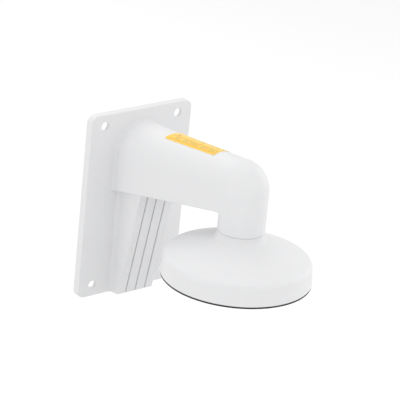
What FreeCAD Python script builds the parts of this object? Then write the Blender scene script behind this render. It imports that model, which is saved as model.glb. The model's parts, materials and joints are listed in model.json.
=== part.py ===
import FreeCAD, Part
import math
import os

# A cast wall bracket for a dome camera, in millimetres.
# The origin is the centre of the wall plate's back face. +Z is up, +X is to the right for
# someone who faces the wall, and the arm reaches away from the wall along -Y.

# Wall plate
PLATE_WIDTH = 120.0
PLATE_HEIGHT = 185.0
PLATE_THICKNESS = 7.5
PLATE_CORNER_RADIUS = 8.0
PLATE_EDGE_ROUND = 1.0
BOLT_FROM_SIDE = 16.5
BOLT_FROM_END = 11.5
BOLT_HOLE_RADIUS = 4.6
BACK_RIM_WIDTH = 6.2
BACK_POCKET_DEPTH = 3.5
BACK_RIB_WIDTH = 3.0
BACK_RIB_PITCH = 33.0
BACK_RIB_COUNT = 5

# Rubber ring let into the plate's back
SEAL_FROM_EDGE = 3.5
SEAL_WIDTH = 2.9
SEAL_DEPTH = 2.0
SEAL_SIDE_GAP = 0.05

# Arm: a D-shaped tube, with a round top and a flat bottom, that rises away from the wall
ARM_REACH = 160.6
ARM_ROOT_HALF_WIDTH = 28.5
ARM_ROOT_CENTRE_Z = 51.8
ARM_ROOT_BOTTOM_Z = 14.2
ARM_TOP_SLOPE = 0.129
ARM_BOTTOM_SLOPE = 0.209
ARM_FLARE = 1.8
ARM_FLARE_POWER = 4.0
ARM_CORNER = 0.8
ARM_SECTIONS = 7
ARM_BURIED = 10.0
CASTING_WALL = 4.0
ARM_PLATE_FILLET = 1.5

# Elbow and neck
NECK_RADIUS = 22.0
NECK_END_Z = 27.0
ELBOW_BEND_RADIUS = 6.0
NECK_BLEND_RADIUS = 3.5

# Gusset under the arm, with three grooves down its front
GUSSET_HALF_WIDTH = 21.0
GUSSET_DRAFT = 0.013
GUSSET_FRONT_Y = -36.7
GUSSET_FRONT_SLOPE = 0.19
GUSSET_FOOT_RISE = 1.0
GUSSET_WALL = 4.0
GUSSET_PLATE_FILLET = 3.0
GUSSET_FOOT_ROUND = 2.0
GROOVE_PITCH = 11.5
GROOVE_COUNT = 3
GROOVE_WIDTH = 1.8
GROOVE_DEPTH = 1.7

# Thread between the neck and the cap, drawn as rings of the same pitch and depth
THREAD_RADIUS = 16.5
THREAD_PITCH = 2.309
THREAD_DEPTH = 1.1
THREAD_CREST = 0.35
THREAD_TURNS = 5
THREAD_FIT = 0.05
THREAD_RELIEF = 1.6
THREAD_LEAD_IN = 1.2
BORE_EXTRA_DEPTH = 3.5
CAP_BORE_WALL = 2.9

# Seal in the joint between the neck and the cap
NECK_WASHER_THICKNESS = 0.4
NECK_WASHER_INSET = 0.3
FACE_GAP = 0.05

# Pendant cap
CAP_RADIUS = 70.0
CAP_RIM_DROP = 45.7
CAP_COLLAR_STEP = 0.5
CAP_COLLAR_HEIGHT = 7.1
CAP_COLLAR_FILLET = 6.0
CAP_CONE_SLOPE = 0.41
CAP_SIDE_SLOPE = 0.086
CAP_SHOULDER_ROUND = 6.0
CAP_WALL = 3.8
CAP_INNER_ROUND = 3.0
CAP_HUB_WALL = 9.5
CAP_HUB_DEPTH = 14.5
CAP_RIB_COUNT = 6
CAP_RIB_WIDTH = 2.4
CAP_RIB_DEPTH = 5.0
CAMERA_SCREWS_FROM_RIM = 20.0
CAMERA_BOSS_COUNT = 3
CAMERA_BOSS_RADIUS = 5.0
CAMERA_BOSS_RECESS = 4.0
CAMERA_HOLE_RADIUS = 1.65
CAMERA_HOLE_DEPTH = 10.0

# Rim gasket
RIM_GASKET_THICKNESS = 1.7
RIM_GASKET_INSET = 0.4
RIM_GASKET_WIDTH = 3.2
RIM_TONGUE_WIDTH = 1.2
RIM_TONGUE_HEIGHT = 1.2

# Cable grommet in the cap's bore
GROMMET_HOLE_RADIUS = 7.0
GROMMET_FLANGE_RADIUS = 15.5
GROMMET_FLANGE_THICKNESS = 1.6
GROMMET_DEPTH = 6.0

# Lock screw through the back of the neck, with its nylon pad
LOCK_SCREW_RADIUS = 2.0
LOCK_SCREW_FIT = 0.05
LOCK_SCREW_BELOW_FACE = 0.2
LOCK_SOCKET_ACROSS_FLATS = 2.0
LOCK_SOCKET_DEPTH = 1.8
LOCK_PAD_RADIUS = 1.6
LOCK_PAD_LENGTH = 1.2

# Safety loop, its strap and its two screws, on the wall side of the cap
LOOP_FROM_RIM = 26.0
LOOP_WIRE_RADIUS = 1.25
LOOP_HALF_WIDTH = 8.0
LOOP_LENGTH = 13.0
LOOP_FIT = 0.1
LOOP_PAD_ABOVE_RIM = 19.7
SADDLE_THICKNESS = 1.0
SADDLE_HALF_WIDTH = 3.6
SADDLE_SCREW_OFFSET = 6.8
SADDLE_EAR_END = 10.0
SADDLE_SCREW_RADIUS = 1.5
SADDLE_SCREW_LENGTH = 6.0
SADDLE_SCREW_HEAD_RADIUS = 2.6
SADDLE_SCREW_HEAD_HEIGHT = 1.8
SCREW_HOLE_FIT = 0.05

# Earthing screw and toothed washer inside the gusset
EARTH_SCREW_Z = -30.0
EARTH_BOSS_RADIUS = 5.0
EARTH_BOSS_FACE_Y = -14.0
EARTH_SCREW_RADIUS = 2.0
EARTH_SCREW_LENGTH = 7.0
EARTH_SCREW_HEAD_RADIUS = 3.8
EARTH_SCREW_HEAD_HEIGHT = 2.6
EARTH_WASHER_RADIUS = 4.4
EARTH_WASHER_THICKNESS = 0.8
EARTH_WASHER_TEETH = 10

# Sticker on top of the arm
LABEL_START = 51.2
LABEL_LENGTH = 68.6
LABEL_HALF_ANGLE = 25.5
LABEL_THICKNESS = 0.25
LABEL_GAP = 0.05

# Cross recess in the heads of the small screws
RECESS_LENGTH_SHARE = 0.62
RECESS_WIDTH = 0.8
RECESS_DEPTH = 1.0

OVERCUT = 1.0

X_AXIS = FreeCAD.Vector(1, 0, 0)
Y_AXIS = FreeCAD.Vector(0, 1, 0)
Z_AXIS = FreeCAD.Vector(0, 0, 1)

# Directions of the arm's round top: along it, away from the wall, and square to it, upwards
ARM_ANGLE = math.atan(ARM_TOP_SLOPE)
ARM_ALONG = FreeCAD.Vector(0, -math.cos(ARM_ANGLE), math.sin(ARM_ANGLE))
ARM_UP = FreeCAD.Vector(0, math.sin(ARM_ANGLE), math.cos(ARM_ANGLE))
ARM_ROOT = FreeCAD.Vector(0, -PLATE_THICKNESS, ARM_ROOT_CENTRE_Z)

# The elbow turns about a line across the arm, below its centre line and behind the neck's axis
ELBOW_CENTRE_Y = -ARM_REACH + ELBOW_BEND_RADIUS
ELBOW_CENTRE_Z = (
    ARM_ROOT_CENTRE_Z
    - ARM_TOP_SLOPE * (ELBOW_CENTRE_Y + PLATE_THICKNESS)
    - ELBOW_BEND_RADIUS / math.cos(ARM_ANGLE)
)
ELBOW_CENTRE = FreeCAD.Vector(0, ELBOW_CENTRE_Y, ELBOW_CENTRE_Z)
ARM_LENGTH = (ELBOW_CENTRE - ARM_ROOT).dot(ARM_ALONG)

# Heights of the cap, from the neck's end downwards
CAP_TOP_Z = NECK_END_Z - NECK_WASHER_THICKNESS - 2 * FACE_GAP
CAP_RIM_Z = NECK_END_Z - CAP_RIM_DROP
SPIGOT_LENGTH = THREAD_RELIEF + THREAD_TURNS * THREAD_PITCH + THREAD_LEAD_IN
SPIGOT_TOP_Z = CAP_TOP_Z + SPIGOT_LENGTH
NECK_BORE_TOP_Z = SPIGOT_TOP_Z + BORE_EXTRA_DEPTH
THREAD_MIDDLE_Z = CAP_TOP_Z + THREAD_RELIEF + THREAD_TURNS * THREAD_PITCH / 2
COLLAR_RADIUS = NECK_RADIUS - CAP_COLLAR_STEP
CAP_BORE_RADIUS = THREAD_RADIUS - THREAD_DEPTH - CAP_BORE_WALL
CAP_HUB_RADIUS = CAP_BORE_RADIUS + CAP_HUB_WALL
CAP_HUB_Z = CAP_TOP_Z - CAP_HUB_DEPTH

# Places inside the cap, set in from its rim
CAMERA_SCREW_RADIUS = CAP_RADIUS - CAMERA_SCREWS_FROM_RIM
LOOP_FROM_AXIS = CAP_RADIUS - LOOP_FROM_RIM
LOOP_PAD_Z = CAP_RIM_Z + LOOP_PAD_ABOVE_RIM
LOOP_Y = -ARM_REACH + LOOP_FROM_AXIS


def point(x, y, z):
    """Give a point."""
    return FreeCAD.Vector(x, y, z)


def cylinder(radius, length, base, axis):
    """Make a cylinder from the centre of its base along an axis."""
    return Part.makeCylinder(radius, length, base, axis)


def neck_cylinder(radius, low_z, high_z):
    """Make an upright cylinder on the neck's axis, between two heights."""
    return cylinder(radius, high_z - low_z, point(0, -ARM_REACH, low_z), Z_AXIS)


def box_between(low, high):
    """Make a box from its lowest and highest corners."""
    size = high - low
    return Part.makeBox(size.x, size.y, size.z, low)


def polyhedron(loops):
    """Close a solid from the flat faces whose corner loops are given."""
    faces = [Part.Face(Part.makePolygon(loop + [loop[0]])) for loop in loops]
    return Part.Solid(Part.Shell(faces))


def upright_prism(outline, half_width_at):
    """Stretch a (y, z) outline across X, as wide at each corner as half_width_at(y) says."""
    left = [point(-half_width_at(y), y, z) for y, z in outline]
    right = [point(half_width_at(y), y, z) for y, z in outline]
    loops = [left, right[::-1]]
    for i in range(len(outline)):
        j = (i + 1) % len(outline)
        loops.append([left[j], left[i], right[i], right[j]])
    return polyhedron(loops)


def rounded_outline(corners, place):
    """Close a wire through (u, v, radius) corners, each rounded by an arc of its radius."""
    edges = []
    starts = []
    ends = []
    arcs = []
    count = len(corners)
    for i in range(count):
        u, v, radius = corners[i]
        here = FreeCAD.Vector(u, v, 0)
        before = FreeCAD.Vector(corners[i - 1][0], corners[i - 1][1], 0) - here
        after = FreeCAD.Vector(corners[(i + 1) % count][0], corners[(i + 1) % count][1], 0) - here
        before.normalize()
        after.normalize()
        if radius <= 0:
            starts.append(here)
            ends.append(here)
            arcs.append(None)
            continue
        half_angle = math.acos(max(-1.0, min(1.0, before.dot(after)))) / 2
        reach = radius / math.tan(half_angle)
        middle = before + after
        middle.normalize()
        centre = here + middle * (radius / math.sin(half_angle))
        starts.append(here + before * reach)
        ends.append(here + after * reach)
        arcs.append(centre - middle * radius)
    for i in range(count):
        if arcs[i] is not None:
            edges.append(Part.Arc(place(starts[i]), place(arcs[i]), place(ends[i])).toShape())
        following = starts[(i + 1) % count]
        if (following - ends[i]).Length > 1e-7:
            edges.append(Part.LineSegment(place(ends[i]), place(following)).toShape())
    return Part.Wire(edges)


def rounded_plate(half_x, half_z, radius, front_y, back_y):
    """Make a flat plate with rounded corners, square to Y, between two depths."""
    corners = [
        (-half_x, -half_z, radius),
        (half_x, -half_z, radius),
        (half_x, half_z, radius),
        (-half_x, half_z, radius),
    ]
    outline = rounded_outline(corners, lambda p: point(p.x, front_y, p.y))
    return Part.Face(outline).extrude(point(0, back_y - front_y, 0))


def turned(corners):
    """Turn a closed (radius, height, rounding) profile about the neck's axis."""
    outline = rounded_outline(corners, lambda p: point(p.x, -ARM_REACH, p.y))
    return Part.Face(outline).revolve(point(0, -ARM_REACH, 0), Z_AXIS, 360)


def bolt_places():
    """List the centres of the wall bolts' holes, on the plate's back."""
    half_x = PLATE_WIDTH / 2 - BOLT_FROM_SIDE
    half_z = PLATE_HEIGHT / 2 - BOLT_FROM_END
    return [point(sx * half_x, 0, sz * half_z) for sx in (-1, 1) for sz in (-1, 1)]


def arm_bottom_z(y):
    """Give the height of the arm's flat bottom at a distance from the wall."""
    return ARM_ROOT_BOTTOM_Z - ARM_BOTTOM_SLOPE * (y + PLATE_THICKNESS)


def arm_half_width(distance):
    """Give the arm's half width: a straight taper with a flare added near the plate."""
    share = max(0.0, 1.0 - distance / ARM_LENGTH)
    taper = ARM_ROOT_HALF_WIDTH - ARM_FLARE - NECK_RADIUS
    return NECK_RADIUS + taper * share + ARM_FLARE * share**ARM_FLARE_POWER


def arm_drop(distance):
    """Give the depth of the arm's flat bottom below the centre line of its round top."""
    bottom = point(0, -PLATE_THICKNESS, ARM_ROOT_BOTTOM_Z) - ARM_ROOT
    closing = math.tan(math.atan(ARM_BOTTOM_SLOPE) - ARM_ANGLE)
    return -bottom.dot(ARM_UP) - closing * (distance - bottom.dot(ARM_ALONG))


def arm_section(distance, inset):
    """Draw the D-shaped outline square to the arm, inset all round by a wall."""
    half = arm_half_width(distance) - inset
    drop = arm_drop(distance) - inset
    lean = ARM_CORNER * (1 - math.sqrt(0.5))
    centre = ARM_ROOT + ARM_ALONG * distance

    def place(across, up):
        return centre + X_AXIS * across + ARM_UP * up

    low_left = place(-half + ARM_CORNER, -drop)
    low_right = place(half - ARM_CORNER, -drop)
    side_left = place(-half, -drop + ARM_CORNER)
    side_right = place(half, -drop + ARM_CORNER)
    edges = [
        Part.LineSegment(low_left, low_right),
        Part.Arc(low_right, place(half - lean, -drop + lean), side_right),
        Part.LineSegment(side_right, place(half, 0)),
        Part.Arc(place(half, 0), place(0, half), place(-half, 0)),
        Part.LineSegment(place(-half, 0), side_left),
        Part.Arc(side_left, place(-half + lean, -drop + lean), low_left),
    ]
    return Part.Wire([edge.toShape() for edge in edges])


def arm_loft(inset, buried):
    """Make the straight arm, from behind the plate's front face to the elbow."""
    step = (ARM_LENGTH + buried) / (ARM_SECTIONS - 1)
    wires = [arm_section(i * step - buried, inset) for i in range(ARM_SECTIONS)]
    return Part.makeLoft(wires, True, False, False, 5)


def elbow(inset):
    """Turn the arm's round top down into the neck, and fill the inside of the bend."""
    radius = NECK_RADIUS - inset
    top = ARM_ROOT + ARM_ALONG * ARM_LENGTH
    left = top - X_AXIS * radius
    right = top + X_AXIS * radius
    half_disc = Part.Wire(
        [
            Part.Arc(left, top + ARM_UP * radius, right).toShape(),
            Part.LineSegment(right, left).toShape(),
        ]
    )
    turn = 90 + math.degrees(ARM_ANGLE)
    bend = Part.Face(half_disc).revolve(ELBOW_CENTRE, X_AXIS, turn)
    core = cylinder(ELBOW_BEND_RADIUS, 2 * radius, ELBOW_CENTRE - X_AXIS * radius, X_AXIS)
    under = Part.Face(arm_section(ARM_LENGTH, inset)).extrude(ARM_ALONG * NECK_RADIUS)
    slab_low = point(-NECK_RADIUS, -ARM_REACH, NECK_END_Z)
    slab_high = point(NECK_RADIUS, ELBOW_CENTRE_Y + NECK_RADIUS, ELBOW_CENTRE_Z)
    return bend.fuse([core, under.common(box_between(slab_low, slab_high))])


def neck_blend():
    """Make the concave web where the arm's sloping bottom meets the back of the neck."""
    radius = NECK_BLEND_RADIUS
    outer = NECK_RADIUS + radius
    inner = NECK_RADIUS - OVERCUT
    lean = radius * math.sqrt(0.5)
    web_foot = point(NECK_RADIUS, 0, -radius)
    web_tip = point(outer, 0, 0)
    corners = [
        web_tip,
        point(outer, 0, OVERCUT),
        point(inner, 0, OVERCUT),
        point(inner, 0, -radius),
        web_foot,
    ]
    edges = [Part.Arc(web_foot, point(outer - lean, 0, lean - radius), web_tip).toShape()]
    edges += [Part.LineSegment(a, b).toShape() for a, b in zip(corners, corners[1:])]
    ring = Part.Face(Part.Wire(edges)).revolve(point(0, 0, 0), Z_AXIS, 360)
    tilt = FreeCAD.Matrix()
    tilt.A32 = -ARM_BOTTOM_SLOPE
    ring = ring.transformGeometry(tilt)
    ring.translate(point(0, -ARM_REACH, arm_bottom_z(-ARM_REACH)))
    low = point(-NECK_RADIUS, -ARM_REACH, NECK_END_Z)
    high = point(NECK_RADIUS, -ARM_REACH + outer, ARM_ROOT_CENTRE_Z + NECK_RADIUS)
    return ring.common(box_between(low, high))


def arm_body(inset, buried, neck_low_z):
    """Make the arm, elbow and neck as one solid, inset all round by a wall."""
    neck = neck_cylinder(NECK_RADIUS - inset, neck_low_z, ELBOW_CENTRE_Z)
    return arm_loft(inset, buried).fuse([elbow(inset), neck]).removeSplitter()


def gusset_front_y(z):
    """Give the depth of the gusset's sloping front at a height."""
    return GUSSET_FRONT_Y - GUSSET_FRONT_SLOPE * z


def gusset_top(front_offset, rise):
    """Find where the gusset's front, moved back, meets the arm's bottom, moved up."""
    slope = ARM_BOTTOM_SLOPE
    base = ARM_ROOT_BOTTOM_Z - slope * PLATE_THICKNESS + rise
    y = (GUSSET_FRONT_Y + front_offset - GUSSET_FRONT_SLOPE * base) / (1 - slope * GUSSET_FRONT_SLOPE)
    return y, base - slope * y


def gusset_outline(wall, rise, back_y):
    """Draw the gusset's side outline, with its front and foot moved in by a wall."""
    foot_z = -PLATE_HEIGHT / 2 + wall
    front_offset = wall * math.sqrt(1 + GUSSET_FRONT_SLOPE**2)
    toe_z = foot_z + GUSSET_FOOT_RISE
    top_y, top_z = gusset_top(front_offset, rise)
    return [
        (back_y, foot_z),
        (gusset_front_y(toe_z) + front_offset, toe_z),
        (top_y, top_z),
        (back_y, arm_bottom_z(back_y) + rise),
    ]


def gusset_solid():
    """Make the gusset, with its foot's front edge rounded and its grooves cut."""
    outline = gusset_outline(0, CASTING_WALL / 2, -PLATE_THICKNESS / 2)
    solid = upright_prism(outline, lambda y: GUSSET_HALF_WIDTH + GUSSET_DRAFT * y)
    toe_y, toe_z = outline[1]
    toe = [e for e in solid.Edges if all(math.hypot(v.Y - toe_y, v.Z - toe_z) < 0.01 for v in e.Vertexes)]
    solid = solid.makeFillet(GUSSET_FOOT_ROUND, toe)
    bottom_z = -PLATE_HEIGHT / 2 - OVERCUT
    top_y, top_z = gusset_top(0, 0)
    front = [(gusset_front_y(bottom_z), bottom_z), (top_y, top_z)]
    cutter = [(y - OVERCUT, z) for y, z in front] + [(y + GROOVE_DEPTH, z) for y, z in reversed(front)]
    groove = upright_prism(cutter, lambda y: GROOVE_WIDTH / 2)
    for i in range(GROOVE_COUNT):
        across = (i - (GROOVE_COUNT - 1) / 2) * GROOVE_PITCH
        solid = solid.cut(groove.translated(point(across, 0, 0)))
    return solid


def gusset_hollow():
    """Make the space inside the gusset, open towards the wall."""
    outline = gusset_outline(GUSSET_WALL, 0, OVERCUT)
    return upright_prism(outline, lambda y: GUSSET_HALF_WIDTH - GUSSET_WALL + GUSSET_DRAFT * y)


def plate_solid():
    """Make the wall plate with its front edge rounded."""
    solid = rounded_plate(PLATE_WIDTH / 2, PLATE_HEIGHT / 2, PLATE_CORNER_RADIUS, -PLATE_THICKNESS, 0)
    front = [e for e in solid.Edges if all(abs(v.Y + PLATE_THICKNESS) < 0.01 for v in e.Vertexes)]
    return solid.makeFillet(PLATE_EDGE_ROUND, front)


def back_pocket():
    """Make the shallow pocket in the plate's back, with ribs left standing in it."""
    half_x = PLATE_WIDTH / 2 - BACK_RIM_WIDTH
    half_z = PLATE_HEIGHT / 2 - BACK_RIM_WIDTH
    pocket = rounded_plate(half_x, half_z, PLATE_CORNER_RADIUS / 2, -BACK_POCKET_DEPTH, OVERCUT)
    ribs = []
    for i in range(BACK_RIB_COUNT):
        z = (i - (BACK_RIB_COUNT - 1) / 2) * BACK_RIB_PITCH
        low = point(-PLATE_WIDTH, -PLATE_THICKNESS, z - BACK_RIB_WIDTH / 2)
        ribs.append(box_between(low, point(PLATE_WIDTH, OVERCUT * 2, z + BACK_RIB_WIDTH / 2)))
    return pocket.cut(ribs)


def seal_ring(side_gap, depth, back_y):
    """Make the ring that the wall gasket or its groove fills."""
    outer = SEAL_FROM_EDGE - SEAL_WIDTH / 2 - side_gap
    inner = SEAL_FROM_EDGE + SEAL_WIDTH / 2 + side_gap
    rings = [
        rounded_plate(
            PLATE_WIDTH / 2 - edge,
            PLATE_HEIGHT / 2 - edge,
            PLATE_CORNER_RADIUS - edge,
            -depth,
            back_y,
        )
        for edge in (outer, inner)
    ]
    return rings[0].cut(rings[1])


def lock_screw_place(from_axis):
    """Give a point on the lock screw's line, at a distance from the neck's axis."""
    return point(0, -ARM_REACH + from_axis, THREAD_MIDDLE_Z)


def earth_boss_hole():
    """Make the tapped hole of the earthing screw."""
    face = point(0, EARTH_BOSS_FACE_Y, EARTH_SCREW_Z)
    radius = EARTH_SCREW_RADIUS + SCREW_HOLE_FIT
    return cylinder(radius, EARTH_SCREW_LENGTH + OVERCUT, face, -Y_AXIS)


def edges_on_plate_front(solid, chosen):
    """List the edges that lie in the plate's front face and whose middle passes a test."""
    found = []
    for edge in solid.Edges:
        middle = edge.valueAt((edge.FirstParameter + edge.LastParameter) / 2)
        flat = all(abs(v.Y + PLATE_THICKNESS) < 0.01 for v in edge.Vertexes)
        if flat and abs(middle.y + PLATE_THICKNESS) < 0.01 and chosen(middle):
            found.append(edge)
    return found


def on_arm_root(place):
    """Say whether a point of the plate's front lies on the arm's outline, above its bottom."""
    furthest = max(abs(place.x), place.z - ARM_ROOT_CENTRE_Z)
    return place.z > ARM_ROOT_BOTTOM_Z + ARM_CORNER and furthest < ARM_ROOT_HALF_WIDTH + ARM_FLARE


def bracket_casting():
    """Make the plate, arm, elbow, neck and gusset as one hollow casting."""
    body = plate_solid().fuse(gusset_solid())
    flank = GUSSET_HALF_WIDTH - GUSSET_DRAFT * PLATE_THICKNESS
    body = body.makeFillet(
        GUSSET_PLATE_FILLET,
        edges_on_plate_front(body, lambda p: abs(abs(p.x) - flank) < 0.01),
    )
    body = body.fuse([arm_body(0, ARM_BURIED, NECK_END_Z), neck_blend()]).removeSplitter()
    body = body.makeFillet(ARM_PLATE_FILLET, edges_on_plate_front(body, on_arm_root))
    behind = box_between(
        point(-PLATE_WIDTH, 0, -PLATE_HEIGHT),
        point(PLATE_WIDTH, PLATE_THICKNESS * 4, PLATE_HEIGHT),
    )
    neck_bore = neck_cylinder(THREAD_RADIUS + THREAD_FIT, NECK_END_Z - OVERCUT, NECK_BORE_TOP_Z)
    hollows = [
        behind,
        arm_body(CASTING_WALL, ARM_BURIED * 2, NECK_BORE_TOP_Z - OVERCUT),
        neck_bore,
        back_pocket(),
        gusset_hollow(),
        seal_ring(SEAL_SIDE_GAP, SEAL_DEPTH, OVERCUT),
        cylinder(LOCK_SCREW_RADIUS + LOCK_SCREW_FIT, NECK_RADIUS, lock_screw_place(THREAD_RADIUS / 2), Y_AXIS),
    ]
    for place in bolt_places():
        hollows.append(cylinder(BOLT_HOLE_RADIUS, PLATE_THICKNESS * 2, place + Y_AXIS * OVERCUT, -Y_AXIS))
    body = body.cut(hollows)
    boss_back = gusset_front_y(EARTH_SCREW_Z) + GUSSET_WALL / 2
    boss_length = EARTH_BOSS_FACE_Y - boss_back
    boss = cylinder(EARTH_BOSS_RADIUS, boss_length, point(0, boss_back, EARTH_SCREW_Z), Y_AXIS)
    return body.fuse(boss).cut(earth_boss_hole())


def wall_gasket():
    """Make the rubber ring in the plate's back, flush with the wall."""
    return seal_ring(0, SEAL_DEPTH, 0)


def arm_label():
    """Make the sticker that wraps over the top of the arm."""
    reach = ARM_ROOT_HALF_WIDTH * 2
    angle = math.radians(LABEL_HALF_ANGLE)
    start = ARM_ROOT + ARM_ALONG * LABEL_START
    side = reach * math.sin(angle)
    top = reach * math.cos(angle)
    corners = [start, start + X_AXIS * side + ARM_UP * top, start - X_AXIS * side + ARM_UP * top]
    wedge = Part.Face(Part.makePolygon(corners + [start])).extrude(ARM_ALONG * LABEL_LENGTH)
    skin = arm_loft(-LABEL_GAP - LABEL_THICKNESS, ARM_BURIED).cut(arm_loft(-LABEL_GAP, ARM_BURIED))
    return skin.common(wedge)


def cap_cone_z(radius):
    """Give the height of the cap's cone at a radius."""
    return CAP_TOP_Z - CAP_COLLAR_HEIGHT - CAP_CONE_SLOPE * (radius - COLLAR_RADIUS)


def cap_corner(wall):
    """Find where the cone and the side wall, both moved in by a wall, would meet."""
    cone_shift = wall * math.sqrt(1 + CAP_CONE_SLOPE**2)
    side_radius = CAP_RADIUS - wall * math.sqrt(1 + CAP_SIDE_SLOPE**2)
    start = cap_cone_z(0) - cone_shift
    above_rim = (start - CAP_CONE_SLOPE * side_radius - CAP_RIM_Z) / (1 - CAP_CONE_SLOPE * CAP_SIDE_SLOPE)
    return side_radius - CAP_SIDE_SLOPE * above_rim, CAP_RIM_Z + above_rim


def inner_cone_z(radius):
    """Give the height of the underside of the cap's cone at a radius."""
    return cap_cone_z(radius) - CAP_WALL * math.sqrt(1 + CAP_CONE_SLOPE**2)


def thread_rings():
    """List the profile of the spigot's thread, from its top down."""
    root = THREAD_RADIUS - THREAD_DEPTH
    rings = []
    for i in reversed(range(THREAD_TURNS)):
        low = CAP_TOP_Z + THREAD_RELIEF + i * THREAD_PITCH
        middle = low + THREAD_PITCH / 2
        rings += [
            (THREAD_RADIUS, middle + THREAD_CREST / 2, 0),
            (THREAD_RADIUS, middle - THREAD_CREST / 2, 0),
            (root, low, 0),
        ]
    return rings


def spread(count, first_degrees):
    """List evenly spread angles, in degrees."""
    return [first_degrees + 360.0 * i / count for i in range(count)]


def around_neck(shape, degrees):
    """Give a copy of a shape, turned about the neck's axis."""
    copy = shape.copy()
    copy.rotate(point(0, -ARM_REACH, 0), Z_AXIS, degrees)
    return copy


def camera_boss_place():
    """Give the centre of the first camera boss's lower face, furthest from the wall."""
    return point(0, -ARM_REACH - CAMERA_SCREW_RADIUS, CAP_RIM_Z + CAMERA_BOSS_RECESS)


def saddle_screw_places():
    """List the points where the saddle's two screws enter the cap's pad."""
    return [point(0, LOOP_Y + side * SADDLE_SCREW_OFFSET, LOOP_PAD_Z) for side in (-1, 1)]


def pendant_cap():
    """Make the round cap with its threaded spigot, ribs, bosses and loop pad."""
    outer_corner = cap_corner(0)
    inner_corner = cap_corner(CAP_WALL)
    rim_inner = CAP_RADIUS - CAP_WALL * math.sqrt(1 + CAP_SIDE_SLOPE**2)
    thread_root = THREAD_RADIUS - THREAD_DEPTH
    profile = [
        (CAP_BORE_RADIUS, SPIGOT_TOP_Z, 0.4),
        (thread_root, SPIGOT_TOP_Z, 0.4),
        (thread_root, SPIGOT_TOP_Z - THREAD_LEAD_IN, 0),
        *thread_rings(),
        (thread_root, CAP_TOP_Z, 0),
        (COLLAR_RADIUS, CAP_TOP_Z, 0.4),
        (COLLAR_RADIUS, CAP_TOP_Z - CAP_COLLAR_HEIGHT, CAP_COLLAR_FILLET),
        (*outer_corner, CAP_SHOULDER_ROUND),
        (CAP_RADIUS, CAP_RIM_Z, 0.5),
        (rim_inner, CAP_RIM_Z, 0.4),
        (*inner_corner, CAP_INNER_ROUND),
        (CAP_HUB_RADIUS, inner_cone_z(CAP_HUB_RADIUS), 1.0),
        (CAP_HUB_RADIUS, CAP_HUB_Z, 1.0),
        (CAP_BORE_RADIUS, CAP_HUB_Z, 0.3),
    ]
    cap = turned(profile)
    buried = CAP_WALL / 2
    rib_end = inner_corner[0] + buried
    rib_zone = turned(
        [
            (CAP_HUB_RADIUS - buried, inner_cone_z(CAP_HUB_RADIUS) + buried / 2, 0),
            (rib_end, inner_cone_z(rib_end) + buried / 2, 0),
            (rib_end, inner_cone_z(rib_end) - CAP_RIB_DEPTH, 0),
            (CAP_HUB_RADIUS - buried, inner_cone_z(CAP_HUB_RADIUS) - CAP_RIB_DEPTH / 2, 0),
        ]
    )
    slab = box_between(
        point(0, -ARM_REACH - CAP_RIB_WIDTH / 2, CAP_RIM_Z),
        point(CAP_RADIUS, -ARM_REACH + CAP_RIB_WIDTH / 2, NECK_END_Z),
    )
    additions = [rib_zone.common(around_neck(slab, a)) for a in spread(CAP_RIB_COUNT, 0)]
    face = camera_boss_place()
    boss_top = inner_cone_z(CAMERA_SCREW_RADIUS + CAMERA_BOSS_RADIUS) + buried
    boss = cylinder(CAMERA_BOSS_RADIUS, boss_top - face.z, face, Z_AXIS)
    hole = cylinder(CAMERA_HOLE_RADIUS, CAMERA_HOLE_DEPTH, face - Z_AXIS * OVERCUT, Z_AXIS)
    boss_angles = spread(CAMERA_BOSS_COUNT, 0)
    additions += [around_neck(boss, a) for a in boss_angles]
    pad_half = SADDLE_SCREW_OFFSET + SADDLE_SCREW_HEAD_RADIUS + 1.5
    pad_low = point(-SADDLE_HALF_WIDTH - 1.0, LOOP_Y - pad_half, LOOP_PAD_Z)
    pad_top = inner_cone_z(LOOP_FROM_AXIS + pad_half) + buried
    additions.append(box_between(pad_low, point(SADDLE_HALF_WIDTH + 1.0, LOOP_Y + pad_half, pad_top)))
    cap = cap.fuse(additions).removeSplitter()
    cuts = [around_neck(hole, a) for a in boss_angles]
    cuts.append(rim_tongue(FACE_GAP))
    screw_hole = SADDLE_SCREW_RADIUS + SCREW_HOLE_FIT
    for place in saddle_screw_places():
        cuts.append(cylinder(screw_hole, SADDLE_SCREW_LENGTH, place - Z_AXIS * OVERCUT, Z_AXIS))
    return cap.cut(cuts)


def rim_tongue(gap):
    """Make the ring that the rim gasket's tongue, or its groove, fills."""
    middle = CAP_RADIUS - RIM_GASKET_INSET - RIM_GASKET_WIDTH / 2
    half = RIM_TONGUE_WIDTH / 2 + gap
    low = CAP_RIM_Z - RIM_GASKET_THICKNESS / 2
    high = CAP_RIM_Z + RIM_TONGUE_HEIGHT + gap
    return turned(
        [
            (middle - half, low, 0),
            (middle + half, low, 0),
            (middle + half, high, 0),
            (middle - half, high, 0),
        ]
    )


def rim_gasket():
    """Make the black ring under the cap's rim, with its tongue up in the rim's groove."""
    outer = CAP_RADIUS - RIM_GASKET_INSET
    low = CAP_RIM_Z - RIM_GASKET_THICKNESS
    high = CAP_RIM_Z - FACE_GAP
    ring = turned(
        [
            (outer - RIM_GASKET_WIDTH, low, 0.4),
            (outer, low, 0.4),
            (outer, high, 0),
            (outer - RIM_GASKET_WIDTH, high, 0),
        ]
    )
    return ring.fuse(rim_tongue(0)).removeSplitter()


def neck_washer():
    """Make the thin seal between the neck's end and the cap's collar."""
    low = CAP_TOP_Z + FACE_GAP
    outer = neck_cylinder(NECK_RADIUS - NECK_WASHER_INSET, low, low + NECK_WASHER_THICKNESS)
    return outer.cut(neck_cylinder(THREAD_RADIUS + THREAD_FIT, CAP_RIM_Z, NECK_END_Z))


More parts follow.
